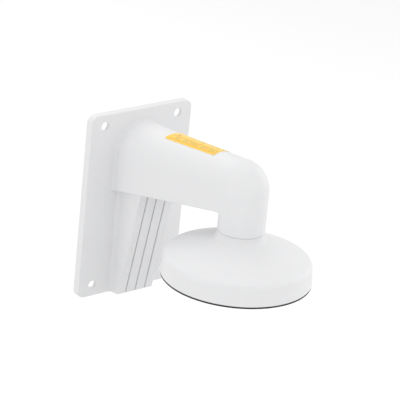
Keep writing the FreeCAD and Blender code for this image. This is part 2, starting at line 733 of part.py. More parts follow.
def cable_grommet():
    """Make the rubber grommet in the lower end of the cap's bore."""
    low = CAP_HUB_Z - FACE_GAP - GROMMET_FLANGE_THICKNESS
    return turned(
        [
            (GROMMET_HOLE_RADIUS, low, 0.5),
            (GROMMET_FLANGE_RADIUS, low, 0.6),
            (GROMMET_FLANGE_RADIUS, low + GROMMET_FLANGE_THICKNESS, 0.3),
            (CAP_BORE_RADIUS - FACE_GAP, low + GROMMET_FLANGE_THICKNESS, 0),
            (CAP_BORE_RADIUS - FACE_GAP, CAP_HUB_Z + GROMMET_DEPTH, 0.8),
            (GROMMET_HOLE_RADIUS, CAP_HUB_Z + GROMMET_DEPTH, 0.5),
        ]
    )


def lock_pad():
    """Make the nylon pad that bears on the crests of the thread."""
    return cylinder(LOCK_PAD_RADIUS, LOCK_PAD_LENGTH, lock_screw_place(THREAD_RADIUS + THREAD_FIT), Y_AXIS)


def lock_screw():
    """Make the grub screw with its hexagon socket."""
    start = THREAD_RADIUS + THREAD_FIT + LOCK_PAD_LENGTH
    end = NECK_RADIUS - LOCK_SCREW_BELOW_FACE
    screw = cylinder(LOCK_SCREW_RADIUS, end - start, lock_screw_place(start), Y_AXIS)
    corner = LOCK_SOCKET_ACROSS_FLATS / math.sqrt(3)
    mouth = lock_screw_place(end - LOCK_SOCKET_DEPTH)
    hexagon = [
        mouth + X_AXIS * (corner * math.cos(math.radians(a))) + Z_AXIS * (corner * math.sin(math.radians(a)))
        for a in spread(6, 0)
    ]
    socket = Part.Face(Part.makePolygon(hexagon + [hexagon[0]])).extrude(Y_AXIS * (LOCK_SOCKET_DEPTH * 2))
    return screw.cut(socket)


def loop_centre():
    """Give the middle of the safety loop's straight leg."""
    return point(0, LOOP_Y, LOOP_PAD_Z - LOOP_WIRE_RADIUS - LOOP_FIT)


def safety_loop():
    """Make the D-shaped wire ring, hanging straight down."""
    centre = loop_centre()
    corner = LOOP_WIRE_RADIUS * 2
    bow = LOOP_HALF_WIDTH * 0.9
    outline = rounded_outline(
        [
            (-LOOP_HALF_WIDTH, 0, corner),
            (LOOP_HALF_WIDTH, 0, corner),
            (LOOP_HALF_WIDTH, -LOOP_LENGTH, bow),
            (-LOOP_HALF_WIDTH, -LOOP_LENGTH, bow),
        ],
        lambda p: centre + X_AXIS * p.x + Z_AXIS * p.y,
    )
    start = outline.Edges[0].valueAt(outline.Edges[0].FirstParameter)
    tangent = outline.Edges[0].tangentAt(outline.Edges[0].FirstParameter)
    section = Part.Wire(Part.makeCircle(LOOP_WIRE_RADIUS, start, tangent))
    return outline.makePipeShell([section], True, True)


def loop_saddle():
    """Make the bent strap that the safety loop's straight leg turns in."""
    leg_z = loop_centre().z
    inner = LOOP_WIRE_RADIUS + LOOP_FIT
    outer = inner + SADDLE_THICKNESS
    ear_z = LOOP_PAD_Z - SADDLE_THICKNESS
    start = point(-SADDLE_HALF_WIDTH, LOOP_Y, leg_z)
    width = SADDLE_HALF_WIDTH * 2
    hump = cylinder(outer, width, start, X_AXIS)
    hump = hump.fuse(
        box_between(
            point(-SADDLE_HALF_WIDTH, LOOP_Y - outer, leg_z),
            point(SADDLE_HALF_WIDTH, LOOP_Y + outer, LOOP_PAD_Z),
        )
    )
    ears = box_between(
        point(-SADDLE_HALF_WIDTH, LOOP_Y - SADDLE_EAR_END, ear_z),
        point(SADDLE_HALF_WIDTH, LOOP_Y + SADDLE_EAR_END, LOOP_PAD_Z),
    )
    tunnel = cylinder(inner, width * 2, start - X_AXIS * SADDLE_HALF_WIDTH, X_AXIS)
    tunnel = tunnel.fuse(
        box_between(
            point(-width, LOOP_Y - inner, leg_z),
            point(width, LOOP_Y + inner, LOOP_PAD_Z + OVERCUT),
        )
    )
    holes = [
        cylinder(SADDLE_SCREW_RADIUS + SCREW_HOLE_FIT, OVERCUT * 4, place - Z_AXIS * (OVERCUT * 2), Z_AXIS)
        for place in saddle_screw_places()
    ]
    above_pad = box_between(
        point(-width, LOOP_Y - outer, LOOP_PAD_Z),
        point(width, LOOP_Y + outer, LOOP_PAD_Z + outer),
    )
    strap = hump.cut(above_pad).fuse(ears).removeSplitter()
    upright = [
        e
        for e in strap.Edges
        if abs(e.Length - SADDLE_THICKNESS) < 0.01
        and all(abs(abs(v.Y - LOOP_Y) - SADDLE_EAR_END) < 0.01 for v in e.Vertexes)
    ]
    return strap.makeFillet(SADDLE_HALF_WIDTH * 0.8, upright).cut([tunnel] + holes)


def screw(radius, length, head_radius, head_height):
    """Make a round-headed screw along +Z, its head below z = 0 and its shank above."""
    shank = cylinder(radius, length, point(0, 0, 0), Z_AXIS)
    head = cylinder(head_radius, head_height, point(0, 0, -head_height), Z_AXIS)
    crown = [e for e in head.Edges if all(abs(v.Z + head_height) < 0.01 for v in e.Vertexes)]
    crown = [e for e in crown if e.Closed]
    head = head.makeFillet(head_height * 0.5, crown)
    arm = head_radius * RECESS_LENGTH_SHARE
    half = RECESS_WIDTH / 2
    low = -head_height - OVERCUT
    high = -head_height + RECESS_DEPTH
    cross = [
        box_between(point(-arm, -half, low), point(arm, half, high)),
        box_between(point(-half, -arm, low), point(half, arm, high)),
    ]
    return head.fuse(shank).removeSplitter().cut(cross)


def saddle_screws():
    """Make the two screws that hold the strap."""
    length = SADDLE_SCREW_LENGTH - OVERCUT * 2 + SADDLE_THICKNESS
    pattern = screw(SADDLE_SCREW_RADIUS, length, SADDLE_SCREW_HEAD_RADIUS, SADDLE_SCREW_HEAD_HEIGHT)
    places = [place - Z_AXIS * SADDLE_THICKNESS for place in saddle_screw_places()]
    return Part.makeCompound([pattern.translated(place) for place in places])


def earth_washer():
    """Make the washer with teeth round its rim, on the earthing screw's boss."""
    base = point(0, EARTH_BOSS_FACE_Y, EARTH_SCREW_Z)
    ring = cylinder(EARTH_WASHER_RADIUS, EARTH_WASHER_THICKNESS, base, Y_AXIS)
    notch_radius = EARTH_WASHER_RADIUS * 0.14
    cuts = [cylinder(EARTH_SCREW_RADIUS + SCREW_HOLE_FIT, EARTH_WASHER_THICKNESS, base, Y_AXIS)]
    for angle in spread(EARTH_WASHER_TEETH, 0):
        across = EARTH_WASHER_RADIUS * math.cos(math.radians(angle))
        up = EARTH_WASHER_RADIUS * math.sin(math.radians(angle))
        cuts.append(cylinder(notch_radius, EARTH_WASHER_THICKNESS, base + point(across, 0, up), Y_AXIS))
    return ring.cut(cuts)


def earth_screw():
    """Make the earthing screw, its head towards the wall."""
    length = EARTH_SCREW_LENGTH + EARTH_WASHER_THICKNESS
    solid = screw(EARTH_SCREW_RADIUS, length, EARTH_SCREW_HEAD_RADIUS, EARTH_SCREW_HEAD_HEIGHT)
    solid.rotate(point(0, 0, 0), X_AXIS, 90)
    return solid.translated(point(0, EARTH_BOSS_FACE_Y + EARTH_WASHER_THICKNESS, EARTH_SCREW_Z))


PIECES = {
    "bracket_casting": bracket_casting,
    "wall_gasket": wall_gasket,
    "arm_label": arm_label,
    "earth_screw": earth_screw,
    "earth_washer": earth_washer,
    "neck_washer": neck_washer,
    "lock_screw": lock_screw,
    "lock_pad": lock_pad,
    "pendant_cap": pendant_cap,
    "rim_gasket": rim_gasket,
    "cable_grommet": cable_grommet,
    "safety_loop": safety_loop,
    "loop_saddle": loop_saddle,
    "saddle_screws": saddle_screws,
}


def main():
    """Make every piece and write each to its own STEP file."""
    os.makedirs("parts", exist_ok=True)
    for name, make in PIECES.items():
        shape = make()
        volume = shape.Volume / 1000
        print(name, "valid" if shape.isValid() else "NOT VALID", len(shape.Solids), f"{volume:.2f} cm3")
        shape.exportStep(os.path.join("parts", f"{name}.step"))


main()
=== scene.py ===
"""Looks of a cast wall bracket for a dome camera, dressed on its fixed CAD frame."""

import json
import logging
import math
from dataclasses import dataclass, field
from enum import Enum

import bpy
from mathutils import Matrix, Vector


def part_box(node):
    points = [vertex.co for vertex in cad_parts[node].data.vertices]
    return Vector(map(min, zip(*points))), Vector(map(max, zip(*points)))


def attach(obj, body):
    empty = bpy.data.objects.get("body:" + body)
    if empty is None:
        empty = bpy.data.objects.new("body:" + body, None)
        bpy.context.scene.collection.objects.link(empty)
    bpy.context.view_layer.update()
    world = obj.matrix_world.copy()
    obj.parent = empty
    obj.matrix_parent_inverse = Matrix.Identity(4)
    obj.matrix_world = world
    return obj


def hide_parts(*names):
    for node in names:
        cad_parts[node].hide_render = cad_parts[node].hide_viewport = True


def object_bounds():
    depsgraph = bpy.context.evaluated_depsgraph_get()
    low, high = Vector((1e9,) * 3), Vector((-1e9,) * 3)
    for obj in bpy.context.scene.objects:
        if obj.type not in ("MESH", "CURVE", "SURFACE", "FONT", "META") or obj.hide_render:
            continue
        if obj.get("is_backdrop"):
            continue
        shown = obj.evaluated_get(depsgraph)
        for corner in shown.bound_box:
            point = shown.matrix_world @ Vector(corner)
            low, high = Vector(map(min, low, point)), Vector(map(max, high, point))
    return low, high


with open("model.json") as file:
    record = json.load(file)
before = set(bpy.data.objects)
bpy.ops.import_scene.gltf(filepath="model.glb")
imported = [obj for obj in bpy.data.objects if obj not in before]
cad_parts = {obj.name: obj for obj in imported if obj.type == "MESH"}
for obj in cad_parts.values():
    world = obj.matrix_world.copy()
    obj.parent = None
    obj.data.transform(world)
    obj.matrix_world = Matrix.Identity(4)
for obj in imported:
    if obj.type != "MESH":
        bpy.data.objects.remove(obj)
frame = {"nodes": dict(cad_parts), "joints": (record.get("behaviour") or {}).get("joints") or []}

LOG = logging.getLogger("wall_bracket")
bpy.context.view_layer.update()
MM = 0.001
MERGE_WITHIN = 0.001 * MM


class Slot(Enum):
    """Material slots of the record that a piece takes its finish from."""

    CASTING = "white_casting"
    RUBBER = "black_rubber"
    LABEL = "orange_label"


class Body(Enum):
    """Bodies of the frame that new pieces ride on."""

    BRACKET = "bracket"
    CAP = "cap"


class Compare(Enum):
    """The two comparisons that a printed pattern is drawn with."""

    ABOVE = "GREATER_THAN"
    BELOW = "LESS_THAN"


def neck_axis() -> Vector:
    """Give the point where the neck's axis crosses the height of the origin."""
    joint = next(j for j in frame["joints"] if j["name"] == "cap_turn")
    return Vector(joint["pos_m"])


class ShaderSheet:
    """The node sheet of one material, with short ways to lay nodes and join them."""

    noise_low: float = 0.3
    noise_high: float = 0.7

    def __init__(self, name: str) -> None:
        """Start an empty sheet with a principled shader joined to its output.

        Args:
            name: The material's name.
        """
        self.material = bpy.data.materials.new(name)
        self.material.use_nodes = True
        self.tree = self.material.node_tree
        self.tree.nodes.clear()
        output = self.node("ShaderNodeOutputMaterial")
        self.shader = self.node("ShaderNodeBsdfPrincipled")
        self.join(self.shader.outputs["BSDF"], output.inputs["Surface"])
        self.place = self.node("ShaderNodeTexCoord")

    def node(self, kind: str, **settings: object) -> bpy.types.Node:
        """Lay a node on the sheet.

        Args:
            kind: The node's type.
            **settings: Properties of the node and their values.

        Returns:
            The new node.
        """
        made = self.tree.nodes.new(kind)
        for name, value in settings.items():
            setattr(made, name, value)
        return made

    def join(self, source: object, target: bpy.types.NodeSocket) -> None:
        """Feed an input from a socket, or set it to a plain value.

        Args:
            source: An output socket, a number, or a colour.
            target: The input socket.
        """
        if isinstance(source, bpy.types.NodeSocket):
            self.tree.links.new(source, target)
        else:
            target.default_value = source

    def math(self, operation: str, first: object, second: object = 0.0) -> bpy.types.NodeSocket:
        """Work out a number from two others.

        Args:
            operation: The operation's name.
            first: The first number or socket.
            second: The second number or socket.

        Returns:
            The result's socket.
        """
        made = self.node("ShaderNodeMath", operation=operation)
        self.join(first, made.inputs[0])
        self.join(second, made.inputs[1])
        return made.outputs["Value"]

    def split(self, vector: bpy.types.NodeSocket) -> tuple:
        """Split a vector into its three numbers.

        Args:
            vector: The vector's socket.

        Returns:
            The sockets of x, y and z.
        """
        made = self.node("ShaderNodeSeparateXYZ")
        self.join(vector, made.inputs[0])
        return tuple(made.outputs)

    def stretched(self, scale: tuple) -> bpy.types.NodeSocket:
        """Give the piece's own coordinates, scaled differently along each axis.

        Args:
            scale: The three scale factors.

        Returns:
            The scaled coordinates' socket.
        """
        made = self.node("ShaderNodeMapping")
        self.join(self.place.outputs["Object"], made.inputs["Vector"])
        self.join(scale, made.inputs["Scale"])
        return made.outputs["Vector"]

    def noise(self, grain: float, detail: float = 2.0, vector: object = None) -> bpy.types.NodeSocket:
        """Lay cloudy noise with grains of a real size.

        Args:
            grain: The size of a grain, in metres.
            detail: How many finer layers it has.
            vector: Coordinates to use in place of the piece's own.

        Returns:
            The noise value's socket.
        """
        made = self.node("ShaderNodeTexNoise")
        self.join(self.place.outputs["Object"] if vector is None else vector, made.inputs["Vector"])
        self.join(1.0 / grain, made.inputs["Scale"])
        self.join(detail, made.inputs["Detail"])
        return made.outputs["Fac"]

    def spread(self, value: object, low: float, high: float, clear: bool = True) -> bpy.types.NodeSocket:
        """Spread a value between 0 and 1 over another range.

        Args:
            value: The value's socket.
            low: The number that 0 becomes.
            high: The number that 1 becomes.
            clear: Whether the noise's middle is stretched first.

        Returns:
            The spread value's socket.
        """
        made = self.node("ShaderNodeMapRange")
        self.join(value, made.inputs["Value"])
        self.join(self.noise_low if clear else 0.0, made.inputs["From Min"])
        self.join(self.noise_high if clear else 1.0, made.inputs["From Max"])
        self.join(low, made.inputs["To Min"])
        self.join(high, made.inputs["To Max"])
        return made.outputs["Result"]

    def blend(self, share: object, first: object, second: object) -> bpy.types.NodeSocket:
        """Blend two colours.

        Args:
            share: The share of the second, from 0 to 1.
            first: The first colour or socket.
            second: The second colour or socket.

        Returns:
            The blended colour's socket.
        """
        made = self.node("ShaderNodeMix", data_type="RGBA")
        self.join(share, made.inputs["Factor"])
        self.join(first, made.inputs["A"])
        self.join(second, made.inputs["B"])
        return made.outputs["Result"]

    def relief(self, height: object, depth: float, under: object = None) -> bpy.types.NodeSocket:
        """Turn a height between 0 and 1 into a relief of a real depth.

        Args:
            height: The height's socket.
            depth: The relief's depth, in metres.
            under: The normal of a coarser relief that this one lies on.

        Returns:
            The normal's socket.
        """
        made = self.node("ShaderNodeBump")
        self.join(height, made.inputs["Height"])
        self.join(depth, made.inputs["Distance"])
        if under is not None:
            self.join(under, made.inputs["Normal"])
        return made.outputs["Normal"]

    def finish(self, **values: object) -> bpy.types.Material:
        """Feed the shader's inputs, named in lower case with low lines for spaces.

        Args:
            **values: The inputs and their sockets, numbers or colours.

        Returns:
            The finished material.
        """
        named = {s.name.lower().replace(" ", "_"): s for s in self.shader.inputs}
        for name, value in values.items():
            self.join(value, named[name])
        return self.material


@dataclass(frozen=True)
class PowderCoat:
    """Satin white powder paint on a die casting, with bare machined metal round its thread."""

    name: str = "powder_coat"
    light: tuple = (0.812, 0.814, 0.822, 1.0)
    dark: tuple = (0.802, 0.804, 0.813, 1.0)
    metal: tuple = (0.66, 0.67, 0.68, 1.0)
    gloss_grain: float = 9.0 * MM
    orange_peel: float = 1.6 * MM
    speckle: float = 0.35 * MM
    peel_depth: float = 0.012 * MM
    speckle_depth: float = 0.006 * MM
    bare_radius: float = 17.2 * MM
    bare_low: float = 25.6 * MM
    bare_high: float = 44.6 * MM
    tool_mark: float = 0.18 * MM
    tool_stretch: tuple = (0.02, 0.02, 1.0)
    paint_rough: tuple = (0.40, 0.50)
    metal_rough: tuple = (0.24, 0.42)
    sheen: float = 0.42

    def material(self) -> bpy.types.Material:
        """Make the material.

        Returns:
            The paint, with metal where the thread is cut.
        """
        sheet = ShaderSheet(self.name)
        bare = self.bare_zone(sheet)
        cloud = sheet.spread(sheet.noise(self.gloss_grain, 3.0), 0.0, 1.0)
        paint = sheet.blend(cloud, self.dark, self.light)
        turned = sheet.noise(self.tool_mark, 1.0, sheet.stretched(self.tool_stretch))
        paint_rough = sheet.spread(sheet.noise(self.orange_peel, 3.0), *self.paint_rough)
        metal_rough = sheet.spread(turned, *self.metal_rough)
        peel = sheet.relief(sheet.noise(self.orange_peel, 1.0), self.peel_depth)
        grain = sheet.relief(sheet.noise(self.speckle, 2.0), self.speckle_depth, peel)
        return sheet.finish(
            base_color=sheet.blend(bare, paint, self.metal),
            metallic=bare,
            roughness=self.either(sheet, bare, paint_rough, metal_rough),
            specular_ior_level=self.sheen,
            normal=grain,
        )

    def bare_zone(self, sheet: ShaderSheet) -> bpy.types.NodeSocket:
        """Mark the threaded zone round the neck's axis.

        Args:
            sheet: The material's sheet.

        Returns:
            The socket that is 1 inside the zone and 0 outside it.
        """
        x, y, z = sheet.split(sheet.place.outputs["Object"])
        across = sheet.math("POWER", x, 2.0)
        along = sheet.math("POWER", sheet.math("SUBTRACT", y, neck_axis().y), 2.0)
        radius = sheet.math("SQRT", sheet.math("ADD", across, along))
        near = sheet.math("LESS_THAN", radius, self.bare_radius)
        above = sheet.math("GREATER_THAN", z, self.bare_low)
        below = sheet.math("LESS_THAN", z, self.bare_high)
        return sheet.math("MULTIPLY", near, sheet.math("MULTIPLY", above, below))

    @staticmethod
    def either(sheet: ShaderSheet, share: object, first: object, second: object) -> bpy.types.NodeSocket:
        """Blend two numbers.

        Args:
            sheet: The material's sheet.
            share: The share of the second, from 0 to 1.
            first: The first number's socket.
            second: The second number's socket.

        Returns:
            The blended number's socket.
        """
        made = sheet.node("ShaderNodeMix", data_type="FLOAT")
        sheet.join(share, made.inputs[0])
        sheet.join(first, made.inputs[2])
        sheet.join(second, made.inputs[3])
        return made.outputs[0]


@dataclass(frozen=True)
class SealRubber:
    """Black moulded rubber with a dusty bloom."""

    name: str = "seal_rubber"
    black: tuple = (0.012, 0.012, 0.013, 1.0)
    bloom: tuple = (0.04, 0.04, 0.041, 1.0)
    cloud: float = 5.0 * MM
    grain: float = 0.25 * MM
    grain_depth: float = 0.02 * MM
    rough: tuple = (0.55, 0.78)
    sheen: float = 0.4

    def material(self) -> bpy.types.Material:
        """Make the material."""
        sheet = ShaderSheet(self.name)
        cloud = sheet.spread(sheet.noise(self.cloud, 5.0), 0.0, 1.0)
        return sheet.finish(
            base_color=sheet.blend(cloud, self.black, self.bloom),
            roughness=sheet.spread(sheet.noise(self.cloud / 3, 3.0), *self.rough),
            specular_ior_level=self.sheen,
            normal=sheet.relief(sheet.noise(self.grain, 2.0), self.grain_depth),
        )


@dataclass(frozen=True)
class Silicone:
    """Grey silicone, smooth and faintly cloudy."""

    name: str = "grey_silicone"
    pale: tuple = (0.44, 0.44, 0.45, 1.0)
    deep: tuple = (0.36, 0.36, 0.37, 1.0)
    cloud: float = 3.0 * MM
    grain: float = 0.3 * MM
    grain_depth: float = 0.01 * MM
    rough: tuple = (0.45, 0.6)

    def material(self) -> bpy.types.Material:
        """Make the material."""
        sheet = ShaderSheet(self.name)
        cloud = sheet.spread(sheet.noise(self.cloud, 4.0), 0.0, 1.0)
        return sheet.finish(
            base_color=sheet.blend(cloud, self.pale, self.deep),
            roughness=sheet.spread(cloud, *self.rough, clear=False),
            normal=sheet.relief(sheet.noise(self.grain, 2.0), self.grain_depth),
        )


class Lay(Enum):
    """Which way the fine marks on a steel piece run, as their stretch along X, Y and Z."""

    SCREW_ALONG_Y = (1.0, 0.05, 1.0)
    SCREW_ALONG_Z = (1.0, 1.0, 0.05)
    ROLLED_STRAP = (1.0, 0.06, 1.0)
    DRAWN_WIRE = (0.06, 1.0, 0.2)


@dataclass(frozen=True)
class Steel:
    """Steel with fine marks along one direction, as drawn wire or turned screws have."""

    name: str
    lay: Lay
    tint: tuple = (0.62, 0.625, 0.63, 1.0)
    shade: tuple = (0.46, 0.465, 0.47, 1.0)
    mark: float = 0.12 * MM
    mark_depth: float = 0.008 * MM
    stain: float = 2.5 * MM
    rough: tuple = (0.2, 0.42)

    def material(self) -> bpy.types.Material:
        """Make the material."""
        sheet = ShaderSheet(self.name)
        marks = sheet.noise(self.mark, 3.0, sheet.stretched(self.lay.value))
        stain = sheet.spread(sheet.noise(self.stain, 4.0), 0.0, 1.0)
        return sheet.finish(
            base_color=sheet.blend(stain, self.tint, self.shade),
            metallic=1.0,
            roughness=sheet.spread(marks, *self.rough),
            normal=sheet.relief(marks, self.mark_depth),
        )


@dataclass(frozen=True)
class Nylon:
    """Natural nylon, milky and slightly waxy."""

    name: str = "natural_nylon"
    milk: tuple = (0.83, 0.81, 0.74, 1.0)
    wax: tuple = (0.72, 0.70, 0.63, 1.0)
    cloud: float = 1.2 * MM
    rough: tuple = (0.38, 0.52)
    milkiness: float = 0.12
    scatter: float = 0.6 * MM

    def material(self) -> bpy.types.Material:
        """Make the material."""
        sheet = ShaderSheet(self.name)
        cloud = sheet.spread(sheet.noise(self.cloud, 4.0), 0.0, 1.0)
        return sheet.finish(
            base_color=sheet.blend(cloud, self.milk, self.wax),
            roughness=sheet.spread(cloud, *self.rough, clear=False),
            subsurface_weight=self.milkiness,
            subsurface_scale=self.scatter,
        )


@dataclass(frozen=True)
class PrintedVinyl:
    """Amber sticker vinyl, printed with a row of ruled boxes and a few plain dashes."""

    length: float
    width: float
    name: str = "printed_vinyl"
    amber: tuple = (0.97, 0.60, 0.03, 1.0)
    # The pale amber is where painted light makes the sticker look lit across its width, and the random
    # mottle also blends towards it.
    pale: tuple = (1.0, 0.70, 0.17, 1.0)
    rule_ink: tuple = (0.85, 0.24, 0.02, 1.0)
    bar_ink: tuple = (0.50, 0.42, 0.05, 1.0)
    dash_ink: tuple = (0.20, 0.16, 0.15, 1.0)
    margin: float = 2.4 * MM
    boxes: int = 5
    box_height: float = 6.4 * MM
    rule: float = 0.7 * MM
    bar_pitch: float = 1.9 * MM
    bar_height: float = 0.9 * MM
    dash_cell: tuple = (6.3 * MM, 3.0 * MM)
    dash_size: tuple = (3.9 * MM, 1.1 * MM)
    dash_share: float = 0.4
    dash_gap: float = 0.4
    bar_inset: float = 2.5
    bar_shortest: float = 0.42
    bar_spread: float = 0.45
    mottle: float = 6.0 * MM
    mottle_swing: float = 0.2
    # This rate sets how quickly painted light turns the amber pale across the sticker's width.
    painted_light_rate: float = 1.5
    gloss_grain: float = 1.5 * MM
    rough: tuple = (0.34, 0.5)
    grain: float = 0.5 * MM
    grain_depth: float = 0.01 * MM

    def material(self) -> bpy.types.Material:
        """Make the material.

        Returns:
            The vinyl with its print, laid out along the piece's own UV map.
        """
        sheet = ShaderSheet(self.name)
        across, along, _ = sheet.split(sheet.place.outputs["UV"])
        v = sheet.math("MULTIPLY", across, self.width)
        u = sheet.math("MULTIPLY", along, self.length)
        mottle = sheet.spread(sheet.noise(self.mottle, 4.0), -self.mottle_swing, self.mottle_swing)
        # Painted light: on top of the vinyl's own random mottle, the ground grows paler across the sticker,
        # so the arm's top and far side look more lit.
        mottle_and_painted_light = sheet.math("ADD", mottle, sheet.math("MULTIPLY", across, self.painted_light_rate))
        ground = sheet.blend(mottle_and_painted_light, self.amber, self.pale)
        rules, bars = self.row_of_boxes(sheet, u, v)
        ink = sheet.blend(rules, ground, self.rule_ink)
        ink = sheet.blend(bars, ink, self.bar_ink)
        ink = sheet.blend(self.dashes(sheet, u, v), ink, self.dash_ink)
        return sheet.finish(
            base_color=ink,
            roughness=sheet.spread(sheet.noise(self.gloss_grain, 3.0), *self.rough),
            normal=sheet.relief(sheet.noise(self.grain, 2.0), self.grain_depth),
        )

    def row_of_boxes(self, sheet: ShaderSheet, u: object, v: object) -> tuple:
        """Rule a row of boxes along one long edge, with short bars in them.

        Args:
            sheet: The material's sheet.
            u: Distance along the sticker.
            v: Distance across the sticker.

        Returns:
            The sockets that are 1 on the rules and on the bars.
        """
        cell = (self.length - 2 * self.margin) / self.boxes
        box_u, number = self.cells(sheet, u, cell)
        row_v = sheet.math("SUBTRACT", v, self.margin)
        inside = self.product(
            sheet,
            self.test(sheet, Compare.ABOVE, u, self.margin),
            self.test(sheet, Compare.BELOW, u, self.length - self.margin),
            self.test(sheet, Compare.ABOVE, row_v, 0.0),
            self.test(sheet, Compare.BELOW, row_v, self.box_height),
        )
        rules = self.test(sheet, Compare.BELOW, box_u, self.rule)
        for mask in (
            self.test(sheet, Compare.BELOW, row_v, self.rule),
            self.test(sheet, Compare.ABOVE, row_v, self.box_height - self.rule),
        ):
            rules = sheet.math("MAXIMUM", rules, mask)
        line_v = sheet.math("MODULO", row_v, self.bar_pitch)
        inset = self.rule * self.bar_inset
        reach = sheet.math("MULTIPLY", self.seed(sheet, number, number), cell * self.bar_spread)
        reach = sheet.math("ADD", reach, cell * self.bar_shortest)
        bars = self.product(
            sheet,
            inside,
            self.test(sheet, Compare.ABOVE, box_u, inset),
            self.test(sheet, Compare.BELOW, box_u, reach),
            self.test(sheet, Compare.ABOVE, row_v, inset),
            self.test(sheet, Compare.BELOW, row_v, self.box_height - inset),
            self.test(sheet, Compare.BELOW, line_v, self.bar_height),
        )
        return self.product(sheet, inside, rules), bars

    def dashes(self, sheet: ShaderSheet, u: object, v: object) -> bpy.types.NodeSocket:
        """Scatter short dark dashes over the plain half of the sticker.

        Args:
            sheet: The material's sheet.
            u: Distance along the sticker.
            v: Distance across the sticker.

        Returns:
            The socket that is 1 on a dash.
        """
        step_u, step_v = self.dash_cell
        long, high = self.dash_size
        dash_u, column = self.cells(sheet, u, step_u)
        dash_v, row = self.cells(sheet, v, step_v)
        plain_half = self.margin + self.box_height + step_v * self.dash_gap
        return self.product(
            sheet,
            self.test(sheet, Compare.ABOVE, v, plain_half),
            self.test(sheet, Compare.BELOW, v, self.width - self.margin),
            self.test(sheet, Compare.ABOVE, u, self.margin),
            self.test(sheet, Compare.BELOW, u, self.length - self.margin),
            self.test(sheet, Compare.BELOW, dash_u, long),
            self.test(sheet, Compare.BELOW, dash_v, high),
            self.test(sheet, Compare.BELOW, self.seed(sheet, column, row), self.dash_share),
        )

    def cells(self, sheet: ShaderSheet, value: object, step: float) -> tuple:
        """Cut a distance into cells that start after the margin.

        Args:
            sheet: The material's sheet.
            value: The distance's socket.
            step: A cell's length.

        Returns:
            The sockets of the distance within the cell and of the cell's number.
        """
        shifted = sheet.math("SUBTRACT", value, self.margin)
        number = sheet.math("FLOOR", sheet.math("DIVIDE", shifted, step))
        return sheet.math("MODULO", shifted, step), number

    @staticmethod
    def seed(sheet: ShaderSheet, column: object, row: object) -> bpy.types.NodeSocket:
        """Give a cell its own fixed number from 0 to 1.

        Args:
            sheet: The material's sheet.
            column: The cell's number along the sticker.
            row: The cell's number across the sticker.

        Returns:
            The number's socket.
        """
        pair = sheet.node("ShaderNodeCombineXYZ")
        sheet.join(column, pair.inputs[0])
        sheet.join(row, pair.inputs[1])
        white = sheet.node("ShaderNodeTexWhiteNoise", noise_dimensions="2D")
        sheet.join(pair.outputs[0], white.inputs["Vector"])
        return white.outputs["Value"]

    @staticmethod
    def test(sheet: ShaderSheet, how: Compare, value: object, limit: object) -> bpy.types.NodeSocket:
        """Give 1 where a value is above or below a limit, and 0 elsewhere."""
        return sheet.math(how.value, value, limit)

    @staticmethod
    def product(sheet: ShaderSheet, *masks: object) -> bpy.types.NodeSocket:
        """Give 1 where every mask is 1.

        Args:
            sheet: The material's sheet.
            *masks: The masks' sockets.

        Returns:
            The product's socket.
        """
        result = masks[0]
        for mask in masks[1:]:
            result = sheet.math("MULTIPLY", result, mask)
        return result


